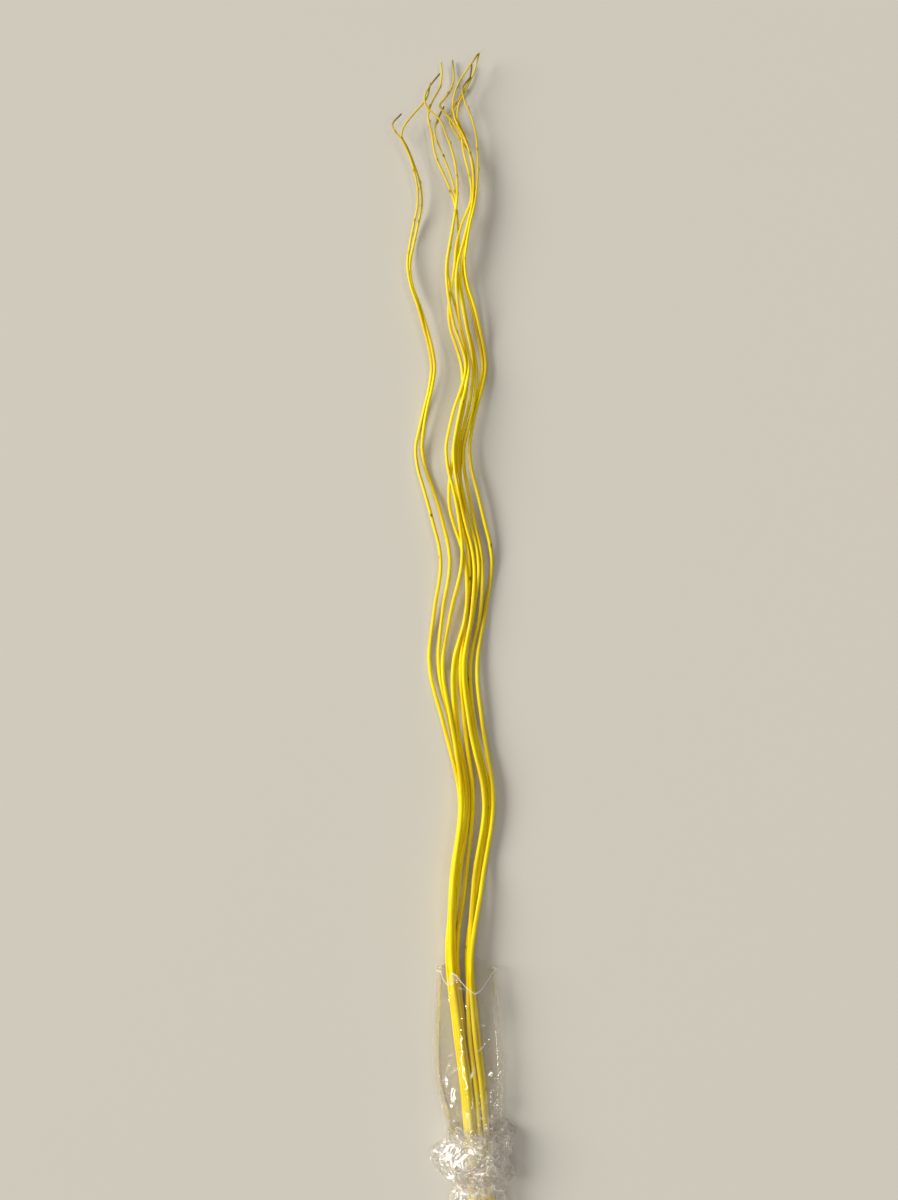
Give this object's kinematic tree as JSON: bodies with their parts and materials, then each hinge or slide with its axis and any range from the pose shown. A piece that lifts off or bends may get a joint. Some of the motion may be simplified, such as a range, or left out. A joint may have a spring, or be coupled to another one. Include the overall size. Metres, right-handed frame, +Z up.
{
  "type": "curly willow bunch",
  "caption": "Bunch of long wavy dried willow stems, painted yellow, lying down with their cut ends banded together inside an open, crumpled sleeve of clear film.",
  "frame": {"origin": "on the surface that the bunch lies on, under the middle of its whole box", "axes": "+Y along the stems from the cut ends to the tips, +Z up, +X to the right seen from above with the tips ahead"},
  "size_m": [0.2336, 2.2817, 0.064],
  "materials": {
    "painted_willow": "dried willow rod with a thin satin coat of yellow paint",
    "clear_film": "clear, glossy, creased packing film",
    "rubber_band": "natural rubber, matt"
  },
  "bodies": {
    "root": {"film_sleeve": "clear_film", "tie_band": "rubber_band", "stem_01": "painted_willow", "stem_02": "painted_willow", "stem_03": "painted_willow", "stem_04": "painted_willow", "stem_05": "painted_willow", "stem_06": "painted_willow", "stem_07": "painted_willow", "stem_08": "painted_willow", "stem_09": "painted_willow", "stem_10": "painted_willow"}
  },
  "joints": []
}
